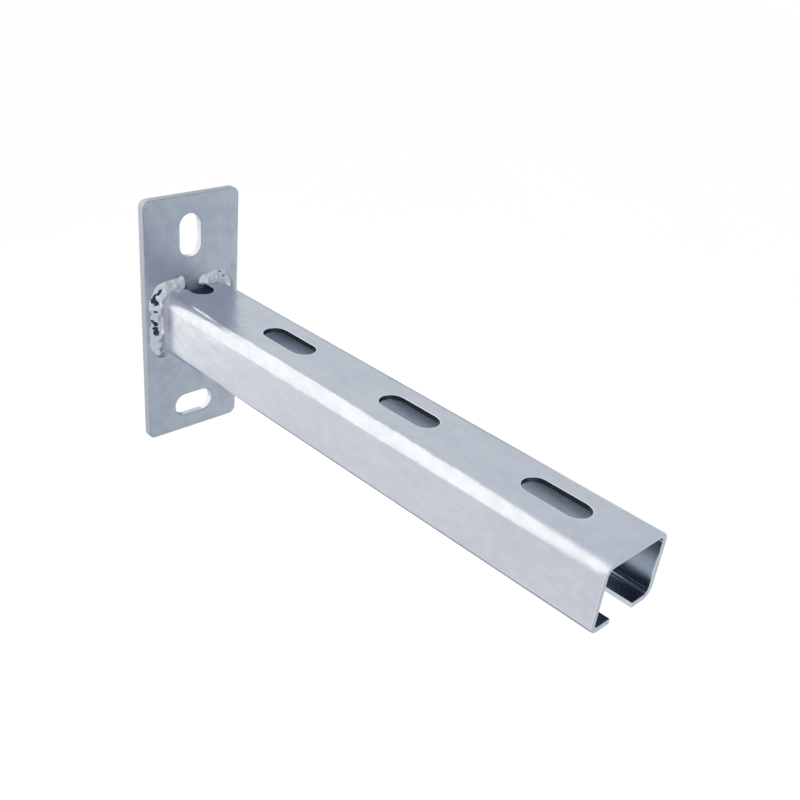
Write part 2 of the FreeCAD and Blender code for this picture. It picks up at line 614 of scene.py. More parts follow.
@dataclass(frozen=True)
class PlateZinc(ZincFinish):
    """The plate's zinc, with painted shade on its front inside the channel, and small nicks."""

    name: str = "plate_zinc"
    tone: Colour = (0.59, 0.615, 0.69)
    shade: Colour = (0.52, 0.555, 0.635)
    # Painted dark reflection along the plate's edges and slot rims.
    rim_shading_tone: Colour = (0.34, 0.37, 0.43)
    cut_tone: Colour = (0.37, 0.40, 0.465)
    smoothest: float = 0.26
    roughest: float = 0.36
    cloud: float = 16 * MM
    wave_height: float = 0.03 * MM
    rim_width: float = 0.7 * MM
    front: float = 4 * MM
    # Painted shade on the plate's front inside the channel, in this box.
    root_shade_tone: Colour = (0.24, 0.32, 0.40)
    root_shade_half_width: float = 18.6 * MM
    root_shade_half_height: float = 14.4 * MM
    root_shade_rise: float = 1.6 * MM
    root_shade_fade: float = 0.8 * MM
    haze_above: float = 4 * MM
    haze_span: Span = (3 * MM, 9 * MM)
    haze_roughness: float = 0.5
    nick_tone: Colour = (0.10, 0.11, 0.15)
    nick_span: Span = (0.2 * MM, 0.5 * MM)
    nick_share: float = 0.8
    nicks: tuple[Place, ...] = (
        (-12.7 * MM, -25.8 * MM),
        (2.7 * MM, 66.1 * MM),
        (-26.8 * MM, 63.2 * MM),
        (7.8 * MM, 39.0 * MM),
        (25.4 * MM, 24.7 * MM),
        (-25.8 * MM, -11.7 * MM),
    )

    def weather(self, canvas: Canvas, share: Value = 1.0) -> None:
        """Adds cut walls, painted shade inside the channel, haze over the first slot and soft round
        nicks.

        Args:
            canvas: The material being made.
            share: How much of the cut walls' dullness shows.
        """
        super().weather(canvas, share)
        # Painted shade on the front where the channel closes over it.
        width, height, fade = self.root_shade_half_width, self.root_shade_half_height, self.root_shade_fade
        aside, up = canvas.off_middle("Y"), canvas.off_middle("Z", self.root_shade_rise)
        within = canvas.ramp(aside, (width - fade, width), 1.0, 0.0)
        between = canvas.ramp(up, (height - fade, height), 1.0, 0.0)
        front = canvas.ramp("X", (self.front - fade, self.front - fade / 2))
        canvas.tint(canvas.maths("MULTIPLY", within, between, front), self.root_shade_tone)
        over_slot = canvas.gap((self.front, 0.0, self.root_shade_rise + height + self.haze_above))
        canvas.roughen(canvas.ramp(over_slot, self.haze_span, self.haze_roughness, 0.0))
        for nick in self.nicks:
            gap = canvas.gap((self.front, *nick))
            canvas.tint(canvas.ramp(gap, self.nick_span, self.nick_share, 0.0), self.nick_tone)


@dataclass(frozen=True)
class ChannelZinc(ZincFinish):
    """The channel's zinc: calm inside in painted shade, a painted highlight on the sawn end,
    dimpled at folds.
    """

    name: str = "channel_zinc"
    tone: Colour = (0.585, 0.607, 0.678)
    shade: Colour = (0.537, 0.57, 0.645)
    # Pale rims round the slots: partly zinc built up at the punched edges, partly painted
    # highlight.
    rim_shading_tone: Colour = (0.72, 0.74, 0.81)
    cut_tone: Colour = (0.085, 0.105, 0.135)
    smoothest: float = 0.19
    roughest: float = 0.27
    cloud: float = 14 * MM
    wave_height: float = 0.18 * MM
    rim_width: float = 0.9 * MM
    before_end_span: Span = (289.1 * MM, 289.6 * MM)
    sawn_span: Span = (289.6 * MM, 289.9 * MM)
    # Painted shade inside the channel.
    inside_shade_tone: Colour = (0.285, 0.345, 0.43)
    inside_roughness: float = 0.25
    inside_span: Span = (0.05, 0.22)
    inside_calm: float = 0.25
    # Painted shade, deepest inside the channel near the wall plate.
    root_shade_tone: Colour = (0.11, 0.145, 0.19)
    root_shade_span: Span = (8 * MM, 55 * MM)
    root_roughness: float = 0.55
    root_span: Span = (8 * MM, 17 * MM)
    dimple_height: float = 0.42 * MM
    fold_aside: Span = (13.5 * MM, 16.5 * MM)
    fold_up: Span = (10.5 * MM, 13.5 * MM)
    fold_begin: Span = (45 * MM, 120 * MM)
    fold_end: Span = (190 * MM, 250 * MM)
    dimples_at_ends: Span = (0.15, 0.25)

    def before_end(self, canvas: Canvas) -> Socket:
        """1 along the arm, falling to 0 at its sawn end."""
        return canvas.ramp("X", self.before_end_span, 1.0, 0.0)

    def inside(self, canvas: Canvas) -> Socket:
        """1 where the sheet faces into the channel, and 0 on the outer face and the sawn end."""
        deep = canvas.ramp(canvas.attribute("sheet_depth"), self.inside_span)
        return canvas.maths("MULTIPLY", deep, self.before_end(canvas))

    def weather(self, canvas: Canvas, share: Value = 1.0) -> None:
        """Adds painted shade inside, deepest near the wall, roughness, a painted highlight on the
        sawn end and punched walls.

        Args:
            canvas: The material being made.
            share: How much of the punched walls' dullness shows.
        """
        inside = self.inside(canvas)
        root_shade = canvas.ramp("X", self.root_shade_span, 1.0, 0.0)
        # Painted shade inside, deepening towards the wall plate.
        canvas.tint(inside, canvas.mix(root_shade, self.inside_shade_tone, self.root_shade_tone))
        root = canvas.ramp("X", self.root_span, self.root_roughness, 0.0)
        canvas.roughen(root, canvas.maths("MULTIPLY", inside, self.inside_roughness))
        # Painted highlight: the sawn end and its rounded edge take the pale rim tone.
        canvas.tint(canvas.ramp("X", self.sawn_span), self.rim_shading_tone)
        super().weather(canvas, canvas.maths("MULTIPLY", self.before_end(canvas), share))

    def relief(self, canvas: Canvas, waves: Socket) -> Socket:
        """The slow waves, calmer inside, and the dimples that the press left on the upper folds.

        Args:
            canvas: The material being made.
            waves: The pattern of the waves.

        Returns:
            The direction of the surface.
        """
        calm = canvas.ramp(self.inside(canvas), (0.0, 1.0), 1.0, self.inside_calm)
        relief = canvas.bump(waves, self.wave_height, strength=calm)
        at_root, at_end = self.dimples_at_ends
        off_web = canvas.ramp(canvas.off_middle("Y"), self.fold_aside)
        off_wall = canvas.ramp("Z", self.fold_up)
        off_root = canvas.ramp("X", self.fold_begin, at_root, 1.0)
        off_end = canvas.ramp("X", self.fold_end, 1.0, at_end)
        folded = canvas.maths("MULTIPLY", off_web, off_wall, off_root, off_end)
        dimples = canvas.noise(self.cloud / 2.4, stretch=1.1, detail=3.0, shift=0.83)
        return canvas.bump(dimples, self.dimple_height, relief, folded)


@dataclass(frozen=True)
class WeldFinish:
    """Plated weld metal: silvery and uneven, with burnt pits, painted highlights and painted shade
    lower down.
    """

    name: str = "weld_zinc"
    tone: Colour = (0.62, 0.65, 0.705)
    shade: Colour = (0.52, 0.56, 0.625)
    # Painted shade, darker lower down the bead.
    wall_shade_tone: Colour = (0.42, 0.46, 0.53)
    # Painted highlight tone.
    bright: Colour = (0.88, 0.90, 0.93)
    burnt: Colour = (0.03, 0.042, 0.062)
    smoothest: float = 0.23
    roughest: float = 0.45
    cloud: float = 3.2 * MM
    cloud_span: Span = (0.35, 0.65)
    wall_span: Span = (9 * MM, 15 * MM)
    wall_share: float = 0.55
    bright_span: Span = (-0.65, -0.25)
    bright_share: float = 0.9
    most_burn: float = 0.8
    fleck: float = 1.1 * MM
    fleck_share: float = 1.2
    burnt_span: Span = (0.98, 1.3)
    grain: float = 1.3 * MM
    grain_height: float = 0.035 * MM

    def build(self) -> bpy.types.Material:
        """Makes the material.

        Returns:
            Metal that goes dark and dull where burnt, and takes painted highlights, where the mesh
            says so.
        """
        canvas = Canvas(self.name, self.tone)
        canvas.tint(canvas.ramp(canvas.noise(self.cloud, detail=2.5), self.cloud_span), self.shade)
        # Painted shade: darker below about 15 mm, most below 9 mm.
        canvas.tint(canvas.ramp("Z", self.wall_span, self.wall_share, 0.0), self.wall_shade_tone)
        burn = canvas.attribute("burn")
        # Painted highlights where the spots are below 0.
        canvas.tint(canvas.ramp(burn, self.bright_span, self.bright_share, 0.0), self.bright)
        charred = canvas.maths("MINIMUM", burn, self.most_burn)
        flecks = canvas.noise(self.fleck, detail=3.0, shift=0.23)
        flecks = canvas.maths("MULTIPLY", flecks, self.fleck_share)
        black = canvas.ramp(canvas.maths("ADD", charred, flecks), self.burnt_span)
        canvas.tint(black, self.burnt)
        canvas.roughness = canvas.ramp(black, (0.0, 1.0), self.smoothest, self.roughest)
        grain = canvas.noise(self.grain, detail=2.0)
        return canvas.finish(canvas.bump(grain, self.grain_height))


def show(piece: bpy.types.Object, node: str, finish: bpy.types.Material) -> None:
    """Dresses a piece, lets it stand for its solid and reports it.

    Args:
        piece: The new piece.
        node: The solid that it stands for.
        finish: Its material.
    """
    piece.data.materials.append(finish)
    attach(piece, "root")
    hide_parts(node)
    log.info("%s: %d faces", piece.name, len(piece.data.polygons))


@dataclass
class WallPlate:
    """The wall plate, with an upright slot above the arm and a level one below it."""

    finish: PlateZinc = PlateZinc()
    upper_slot: RoundSlot = RoundSlot((-1.0 * MM, 45.7 * MM), (0.0, 1.0), 23.0 * MM, 13.0 * MM)
    lower_slot: RoundSlot = RoundSlot((0.4 * MM, -52.0 * MM), (1.0, 0.0), 24.0 * MM, 13.0 * MM)
    corner_radius: float = 4.0 * MM
    front_ease: float = 0.5 * MM
    back_ease: float = 0.15 * MM
    upper_seam: float = 27.0 * MM
    lower_seam: float = -33.0 * MM
    step: float = 1.4 * MM
    plain_step: float = 2.5 * MM
    slot_sheared: float = 0.25

    def __post_init__(self) -> None:
        """Takes the overall sizes from the frame."""
        low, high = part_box("back_plate")
        self.front = high.x
        self.edge = EdgeForm(high.x - low.x, self.front_ease, self.back_ease)
        self.side = high.y - self.front_ease
        self.top = high.z - self.front_ease
        self.inner_radius = self.corner_radius - self.front_ease
        self.corner = self.side - self.inner_radius
        self.shoulder = self.top - self.inner_radius
        self.level = through((-self.side, *self.lower_slot.ends, self.side), self.step)
        corners = ((1, 1), (-1, 1), (-1, -1), (1, -1))
        self.rounds = [
            quarter((x * self.corner, y * self.shoulder), self.inner_radius, number)
            for number, (x, y) in enumerate(corners)
        ]
        self.work = Patchwork()

    def upper_border(self) -> Array:
        """The outline above the upper seam, anticlockwise from the seam's right end to its left.

        Returns:
            Points in rows.
        """
        rising = through((self.upper_seam, *self.upper_slot.ends, self.shoulder), self.step)
        right = points(self.side, rising)
        crown = points(run(self.corner, -self.corner, self.step), self.top)
        return chain(right, self.rounds[0], crown, self.rounds[1], right[::-1] * MIRRORED)

    def lower_border(self) -> Array:
        """The outline below the lower seam, anticlockwise from the seam's left end to its right.

        Returns:
            Points in rows.
        """
        left = points(-self.side, run(self.lower_seam, -self.shoulder, self.step))
        inside = self.level[np.abs(self.level) < self.corner - self.step / 2]
        foot = points(np.concatenate([[-self.corner], inside, [self.corner]]), -self.top)
        return chain(left, self.rounds[2], foot, self.rounds[3], left[::-1] * MIRRORED)

    def lay(self, flat: Array, depth: Array, distance: Array | float, sheared: float) -> None:
        """Stands a flat grid up on the wall.

        Args:
            flat: Points across and up the plate.
            depth: Depths below the front face.
            distance: Distances from a rim.
            sheared: How dull a cut wall in it is, 0 to 1.
        """
        grid = points(self.front - depth, flat[..., 0], flat[..., 1])
        share = depth / self.edge.thickness
        self.work.lay(grid, rim_distance=distance, sheet_depth=share, sheared=sheared)

    def lay_band(self, outline: Array) -> None:
        """Adds the plate's edge, as the edge's form carried round its outline.

        Args:
            outline: The inset outline, in rows.
        """
        corner = np.array([self.corner, self.shoulder])
        offset = outline - np.clip(outline, -corner, corner)
        outward = offset / np.linalg.norm(offset, axis=1, keepdims=True)
        inset, depth = self.edge.profile()
        push = np.append(self.front_ease - inset, 0.0)[:, None, None]
        depth = np.append(depth, self.edge.thickness)[:, None]
        # The depth doubles as the distance from the rim, so the painted dark rim tone lies along
        # the front edge.
        self.lay(outline + outward * push, depth, depth, 1.0)

    def build(self) -> None:
        """Makes the plate: a tile round each slot, a plain part between, and the edge round it."""
        upper_seam = points(self.level, self.upper_seam)
        lower_seam = points(self.level, self.lower_seam)[::-1]
        for slot, outline, seam in (
            (self.upper_slot, self.upper_border(), upper_seam),
            (self.lower_slot, self.lower_border(), lower_seam),
        ):
            tile = slot.tile(chain(outline, seam), self.edge)
            self.lay(*tile, self.slot_sheared)
            self.lay_band(outline)
        rising = run(self.lower_seam, self.upper_seam, self.plain_step)
        for depth in (0.0, self.edge.thickness):
            self.lay(points(self.level, rising[:, None]), np.array(depth), FAR_FROM_RIM, 0.0)
        for side in (self.side, -self.side):
            self.lay_band(points(side, rising))
        show(self.work.sew("wall_plate"), "back_plate", self.finish.build())


@dataclass
class StrutChannel:
    """The arm: one folded sheet with a row of slots in its web and its open side down."""

    finish: ChannelZinc = ChannelZinc()
    thickness: float = 2.5 * MM
    slot_count: int = 4
    slot_length: float = 33.0 * MM
    slot_width: float = 13.0 * MM
    slot_pitch: float = 83.0 * MM
    last_slot_from_end: float = 40.5 * MM
    slot_shift: float = 1.0 * MM
    rim_ease: float = 0.16 * MM
    cut_ease: float = 0.25 * MM
    margin: float = 5.5 * MM
    seam_inset: float = 0.4 * MM
    step: float = 1.1 * MM
    plain_step: float = 3.0 * MM
    bend_step: float = 0.55 * MM
    near_bend: float = 0.4 * MM

    def __post_init__(self) -> None:
        """Takes the overall sizes from the frame and unrolls the section."""
        low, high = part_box("strut_channel")
        self.begin = low.x
        self.end = high.x
        self.fold = Fold(
            half_width=(high.y - low.y) / 2,
            half_height=(high.z - low.z) / 2,
            rise=(high.z + low.z) / 2,
        )
        self.seam = self.fold.flat_half - self.seam_inset
        self.last_plain = self.end - self.cut_ease
        self.web = run(-self.seam, self.seam, self.step)
        self.work = Patchwork()

    def bays(self) -> list[tuple[RoundSlot | None, Array]]:
        """Divides the web along the arm.

        Returns:
            For each bay, its slot, or None for a plain bay, and places along the arm.
        """
        found: list[tuple[RoundSlot | None, Array]] = []
        half_bay = self.slot_length / 2 + self.margin
        reached = self.begin
        for after in reversed(range(self.slot_count)):
            middle = self.end - self.last_slot_from_end - after * self.slot_pitch
            if middle - half_bay > reached:
                found.append((None, run(reached, middle - half_bay, self.plain_step)))
                reached = middle - half_bay
            centre = (middle, self.slot_shift)
            slot = RoundSlot(centre, (1.0, 0.0), self.slot_length, self.slot_width)
            stops = [*slot.ends, middle + half_bay]
            stops = [reached, *(stop for stop in stops if stop > reached)]
            found.append((slot, through(stops, self.step)))
            reached = stops[-1]
        found.append((None, run(reached, self.last_plain, self.plain_step)))
        return found

    def strip_line(self) -> Array:
        """Divides the outline from the web's seam to the edge of the lip, closely near the bends.

        Returns:
            Places round the outline.
        """
        fold, near = self.fold, self.near_bend
        lip_end = fold.sheet_half - self.cut_ease
        stops = (
            (self.seam, near),
            (fold.flat_half, self.bend_step),
            (fold.wall_begin, near),
            (fold.wall_begin + near, self.plain_step),
            (fold.wall_end - near, near),
            (fold.wall_end, self.bend_step),
            (fold.lip_begin, near),
            (fold.lip_begin + near, self.plain_step),
            (lip_end - self.cut_ease, near),
            (lip_end, near),
        )
        return chain(*[run(begin, end, step) for (begin, step), (end, _) in zip(stops, stops[1:])])

    def half_loop(self, ease: float, line: Array) -> tuple[Array, Array, Array]:
        """The section of one half of the sheet: out along its outer face and back along its inner.

        A point is a core point, which lies the cut's easing inside the sheet, pushed outwards. At
        the lip's two corners the push turns through a quarter circle each.

        Args:
            ease: How far the core points are pushed.
            line: Places along the outer face, ending at the lip's core point.

        Returns:
            Places across the unrolled sheet, depths, and depths for the finish, with 0 on the
            lip's edge, which is plated as brightly as the outer face and so takes no painted inside
            shade.
        """
        angle = sweep(EASE_STEPS)
        tip = line[-1] + ease * np.concatenate([np.sin(angle), np.cos(angle)])
        core = np.repeat([self.cut_ease, self.thickness - self.cut_ease], EASE_STEPS + 1)
        tip_depth = core + ease * np.concatenate([-np.cos(angle), np.sin(angle)])
        outer = np.full_like(line[:-1], self.cut_ease - ease)
        across = np.concatenate([line[:-1], tip, line[-2::-1]])
        depth = np.concatenate([outer, tip_depth, self.thickness - outer])
        shown = depth.copy()
        shown[len(line) - 1 : len(line) + EASE_STEPS + 1] = 0.0
        return across, depth, shown

    def lay(
        self,
        grid: Array,
        depth: Array,
        distance: Array | float = FAR_FROM_RIM,
        sheared: float = 0.0,
    ) -> None:
        """Adds one grid of the sheet.

        Args:
            grid: Points in rows and columns.
            depth: Their depth below the outer face.
            distance: Their distance from a slot's rim.
            sheared: 1 where the grid holds a slot's punched walls.
        """
        share = depth / self.thickness
        self.work.lay(grid, rim_distance=distance, sheet_depth=share, sheared=sheared)

    def close(self, loop: Array) -> None:
        """Closes a cut: each point of the outer face is joined to the inner one below it.

        Args:
            loop: Points from the outer face round to the inner, as many on one as on the other.
        """
        half = len(loop) // 2
        self.lay(np.stack([loop[:half], loop[::-1][:half]]), np.array([[0.0], [self.thickness]]))

    def lay_strips(self, along: Array) -> None:
        """Adds the bends, walls and lips, as the half section carried along the arm.

        Args:
            along: All places along the arm.
        """
        loop = self.half_loop(self.cut_ease, self.strip_line())
        across, depth, shown = (part[:, None] for part in loop)
        for side in Side:
            grid = self.fold.wrap(along, side.value * across, depth)
            self.lay(grid, shown)
            self.close(grid[:, 0])

    def lay_slot(self, slot: RoundSlot, along: Array) -> None:
        """Adds a bay with a slot. Where the plate cuts the slot off, the bay is closed against it.

        Args:
            slot: The bay's slot.
            along: Places along the arm.
        """
        far = points(along, self.seam)
        head = points(along[-1], self.web[::-1])
        near = points(along, -self.seam)[::-1]
        tail = points(along[0], self.web)
        cut_off = slot.centre[0] - slot.length / 2 < self.begin
        border = chain(far, head, near) if cut_off else chain(far, head, near, tail)
        edge = EdgeForm(self.thickness, self.rim_ease, self.rim_ease / 3)
        flat, depth, distance = slot.tile(border, edge)
        grid = self.fold.wrap(flat[..., 0], flat[..., 1], depth)
        self.lay(grid, depth, distance, sheared=1.0)
        if cut_off:
            self.close(grid[:, 0])
            self.close(grid[:, -1])

    def lay_free_end(self) -> None:
        """Adds the cut end: a quarter round from the faces to the end face, and the end face."""
        middle = len(self.web) // 2
        far = chain(self.web[middle:], self.strip_line())
        near = chain(-self.web[: middle + 1][::-1], self.strip_line())
        angle = sweep(EASE_STEPS)
        along = self.last_plain + self.cut_ease * np.sin(angle)
        for side, line in ((Side.FAR, far), (Side.NEAR, near)):
            loops = [self.half_loop(ease, line) for ease in self.cut_ease * np.cos(angle)]
            across, depth, shown = (np.array(part) for part in zip(*loops))
            grid = self.fold.wrap(along[:, None], side.value * across, depth)
            self.lay(grid, shown)
            self.close(grid[-1])

    def build(self) -> None:
        """Makes the channel from its bays, its strips and its free end."""
        bays = self.bays()
        for slot, along in bays:
            if slot is not None:
                self.lay_slot(slot, along)
                continue
            for depth in (0.0, self.thickness):
                self.lay(self.fold.wrap(along, self.web[:, None], depth), np.array(depth))
        self.lay_strips(chain(*[along for _, along in bays]))
        self.lay_free_end()
        piece = self.work.sew("folded_channel")
        show(piece, "strut_channel", self.finish.build())


@dataclass(frozen=True)
class Spot:
    """A soft spot of a bead, in millimetres and degrees: a burnt pit, or a painted highlight if
    below 0.
    """

    travel: float
    angle: float
    length: float
    width: float
    strength: float


@dataclass
class WeldBead:
    """A fillet bead round half of the arm, laid in puddles from the web's middle to the lip."""

    side: Side
    fold: Fold
    plane: float
    seed: int
    begin_round: float
    knob: float
    spots: tuple[Spot, ...]
    finish: WeldFinish = WeldFinish()
    leg_on_plate: float = 6.0 * MM
    leg_on_arm: float = 3.4 * MM
    fullness: float = 1.45
    gap_half_width: float = 3.6 * MM
    turn_under: float = 86.0
    end_round: float = 2.2 * MM
    end_steps: int = 14
    step: float = 0.16 * MM
    crest_steps: int = 40
    puddle_pitch: float = 4.9 * MM
    puddle_depth: float = 0.07
    puddle_power: float = 0.7
    wander: float = 1.1 * MM
    wander_cell: Place = (1.0, 6 * MM)
    ripple_pitch: float = 1.9 * MM
    ripple_depth: float = 0.003
    bow: float = 1.5 * MM
    least_crest: float = 0.25
    lump_depth: float = 0.085
    lump_cell: Place = (0.42, 2.5 * MM)
    drift_cell: Place = (1.0, 7 * MM)
    pit_depth: float = 0.17
    knob_reach: float = 3.2 * MM
    end_draw: float = 0.45
    end_draw_reach: float = 3.2 * MM
    sink: float = 0.06 * MM

    def __post_init__(self) -> None:
        """Lays out the crest: distances round the outline, and angles from plate toe to arm toe.

        The distances are packed close where the bead's ends round off.
        """
        angle = sweep(self.end_steps)
        end = self.fold.wall_end + self.fold.lower_radius * math.radians(self.turn_under)
        start = self.gap_half_width + self.begin_round * (1 - np.cos(angle))
        stop = end - self.end_round * (1 - np.sin(angle))
        travel = chain(start, run(start[-1], stop[0], self.step), stop)
        self.travel, self.angle = np.meshgrid(travel, sweep(self.crest_steps))

    def swell(self, burn: Array) -> Array:
        """How large the bead is at each point, as a share of its full size.

        Puddles are scallops, 1 - depth (1 - |sin|^power), and finer ripples are cosines. Both bow
        forward along the crest by sin 2a. Soft random lumps lie over them, a knob swells where the
        bead began, and burnt spots are pits.

        Args:
            burn: How burnt each point is, as a grid.

        Returns:
            Sizes around 1, as a grid.
        """
        travel, angle = self.travel, self.angle
        bowed = travel + self.bow * np.sin(2 * angle)
        level = np.zeros_like(angle)
        wander = self.wander * smooth_noise(level, travel, self.wander_cell, self.seed)
        scallop = np.abs(np.sin(math.pi * (bowed + wander) / self.puddle_pitch))
        ripple = np.cos(2 * math.pi * bowed / self.ripple_pitch)
        crest = self.least_crest + (1 - self.least_crest) * np.sin(2 * angle)
        lumps = smooth_noise(angle, travel, self.lump_cell, self.seed + 1)
        drift = smooth_noise(level, travel, self.drift_cell, self.seed + 2)
        from_knob = (travel - self.gap_half_width) / self.knob_reach - 1
        shape = self.ripple_depth * ripple - self.puddle_depth * (1 - scallop**self.puddle_power)
        shape = shape - self.pit_depth * np.clip(burn, 0.0, 1.0)
        knob = self.knob * np.exp(-(from_knob**2) - (2 * angle) ** 2)
        return 1 + shape * crest + self.lump_depth * (lumps + drift) + knob

    def burn(self) -> Array:
        """How burnt each point is, and where painted highlights lie, as a sum of soft spots.

        Returns:
            Numbers above 0 where the bead is burnt, and below 0 where a painted highlight lies, as
            a grid.
        """
        total = np.zeros_like(self.travel)
        for spot in self.spots:
            along = (self.travel - spot.travel * MM) / (spot.length * MM)
            aside = (np.degrees(self.angle) - spot.angle) / spot.width
            total = total + spot.strength * np.exp(-(along**2) - aside**2)
        return total

    def build(self) -> None:
        """Makes the bead: a convex crest from toe to toe, closed below, and a pole at each end.

        Over the first slot the leg along the arm is drawn in, because there is no sheet below it.
        """
        travel, angle = self.travel, self.angle
        begin, end = travel[0, 0], travel[0, -1]
        from_ends = (travel - begin) / self.begin_round, (end - travel) / self.end_round
        rest = 1 - np.clip(np.minimum(*from_ends), 0.0, 1.0)
        taper = np.sqrt(np.clip(1 - rest * rest, 0.0, 1.0))
        burn = self.burn()
        size = self.swell(burn) * taper
        across = self.side.value * travel
        root = self.fold.wrap(self.plane, across, 0.0)
        outward = self.fold.outward(across)
        forward = np.array([1.0, 0.0, 0.0])
        power = 2 / self.fullness
        drawn_in = 1 - self.end_draw * np.exp(-(((travel - begin) / self.end_draw_reach) ** 2))
        away = self.leg_on_plate * size * np.cos(angle) ** power
        along = self.leg_on_arm * size * drawn_in * np.sin(angle) ** power
        crest = root + outward * away[..., None] + forward * along[..., None]
        deep = (self.sink * taper[0])[:, None]
        plate_toe = crest[0] - forward * deep
        arm_toe = crest[-1] - outward[0] * deep
        corner = root[0] - (forward + outward[0]) * deep
        loop = np.concatenate([crest, [arm_toe, corner, plate_toe], crest[:1]])
        work = Patchwork()
        work.lay(loop, burn=np.concatenate([burn, np.zeros_like(burn[:3]), burn[:1]]))
        name = self.side.name.lower() + "_weld"
        show(work.sew(name), name + "_bead", self.finish.build())


# Spots of the beads: above 0 burnt pits, below 0 painted highlights.
NEAR_SPOTS = (
    Spot(19.2, 40.0, 1.4, 9.0, 1.0),
    Spot(22.0, 24.0, 1.8, 18.0, 1.15),
    Spot(23.1, 50.0, 1.0, 14.0, 1.0),
    Spot(27.1, 42.0, 0.75, 18.0, 0.95),
    Spot(32.4, 8.0, 0.85, 14.0, 1.0),
    Spot(33.5, 28.0, 0.8, 16.0, 1.0),
    Spot(34.2, 45.0, 1.1, 13.0, 1.15),
    Spot(36.3, 36.0, 0.8, 17.0, 0.95),
    Spot(38.9, 40.0, 1.4, 15.0, 1.15),
    Spot(38.6, 52.0, 2.3, 16.0, 0.6),
    Spot(5.4, 16.0, 1.2, 13.0, -0.9),
    Spot(17.0, 82.0, 1.6, 7.0, -0.8),
    Spot(20.0, 78.0, 2.0, 7.0, -1.0),
    Spot(23.2, 73.0, 1.5, 6.0, -0.9),
    Spot(21.0, 40.0, 0.5, 8.0, -0.6),
    Spot(25.6, 10.0, 1.2, 9.0, -0.6),
    Spot(29.6, 12.0, 1.6, 7.0, -0.7),
    Spot(36.5, 8.0, 1.8, 7.0, -0.8),
    Spot(40.5, 12.0, 1.4, 8.0, -0.5),
    Spot(38.5, 80.0, 2.6, 7.0, -0.7),
)
FAR_SPOTS = (
    Spot(15.8, 24.0, 0.7, 10.0, 0.75),
    Spot(16.8, 50.0, 0.6, 10.0, 0.7),
    Spot(17.9, 20.0, 1.2, 8.0, -0.8),
    Spot(14.2, 10.0, 0.8, 7.0, -0.7),
    Spot(20.2, 45.0, 0.9, 14.0, -1.0),
    Spot(21.4, 68.0, 1.4, 9.0, -0.9),
    Spot(7.0, 20.0, 1.4, 9.0, -0.5),
)


@dataclass(frozen=True)
class CameraRig:
    """The camera, as fitted to the photograph's edges."""

    azimuth: float = 41.36
    elevation: float = 32.86
    roll: float = 7.41
    distance: float = 451.11 * MM
    target: tuple[float, float, float] = (175.98 * MM, -6.12 * MM, -14.62 * MM)
    focal_pixels: float = 1006.57
    centre_pixels: Place = (404.64, 487.75)
    picture_pixels: int = 800
    sensor_width: float = 36.0
    nearest: float = 0.01

    def build(self) -> None:
        """Puts the camera in the scene, with the small shift that the framing needs."""
        azimuth, elevation, roll = np.radians([self.azimuth, self.elevation, self.roll]).tolist()
        level = math.cos(elevation)
        back = (math.sin(azimuth) * level, -math.cos(azimuth) * level, math.sin(elevation))
        back = Vector(back)
        flat_right = Vector((math.cos(azimuth), math.sin(azimuth), 0.0))
        flat_up = back.cross(flat_right)
        right = flat_right * math.cos(roll) + flat_up * math.sin(roll)
        up = flat_up * math.cos(roll) - flat_right * math.sin(roll)
        lens = bpy.data.cameras.new("camera")
        lens.sensor_width = self.sensor_width
        lens.lens = self.sensor_width * self.focal_pixels / self.picture_pixels
        lens.shift_x = 0.5 - self.centre_pixels[0] / self.picture_pixels
        lens.shift_y = self.centre_pixels[1] / self.picture_pixels - 0.5
        lens.clip_start = self.nearest
        camera = bpy.data.objects.new("camera", lens)
        turn = Matrix((right, up, back)).transposed().to_4x4()
        camera.matrix_world = Matrix.Translation(Vector(self.target) + back * self.distance) @ turn
        bpy.context.scene.collection.objects.link(camera)
        bpy.context.scene.camera = camera


@dataclass(frozen=True)
class Lamp:
    """One large soft lamp, about as bright as a white sheet lit by half of the room."""

    name: str = "key_lamp"
    place: tuple[float, float, float] = (-0.71, -0.40, 0.39)
    aim: tuple[float, float, float] = (0.12, 0.0, 0.0)
    width: float = 2.4
    height: float = 2.1
    brightness: float = 0.52
    tint: Colour = (1.0, 0.95, 0.76)

    def build(self) -> None:
        """Hangs the lamp and turns it to its aim. Its power is 4 times area times brightness."""
        light = bpy.data.lights.new(self.name, "AREA")
        light.shape = "RECTANGLE"
        light.size = self.width
        light.size_y = self.height
        light.color = self.tint
        light.energy = 4 * self.width * self.height * self.brightness
        lamp = bpy.data.objects.new(self.name, light)
        turn = (Vector(self.aim) - Vector(self.place)).to_track_quat("-Z", "Y")
        lamp.matrix_world = Matrix.Translation(self.place) @ turn.to_matrix().to_4x4()
        bpy.context.scene.collection.objects.link(lamp)


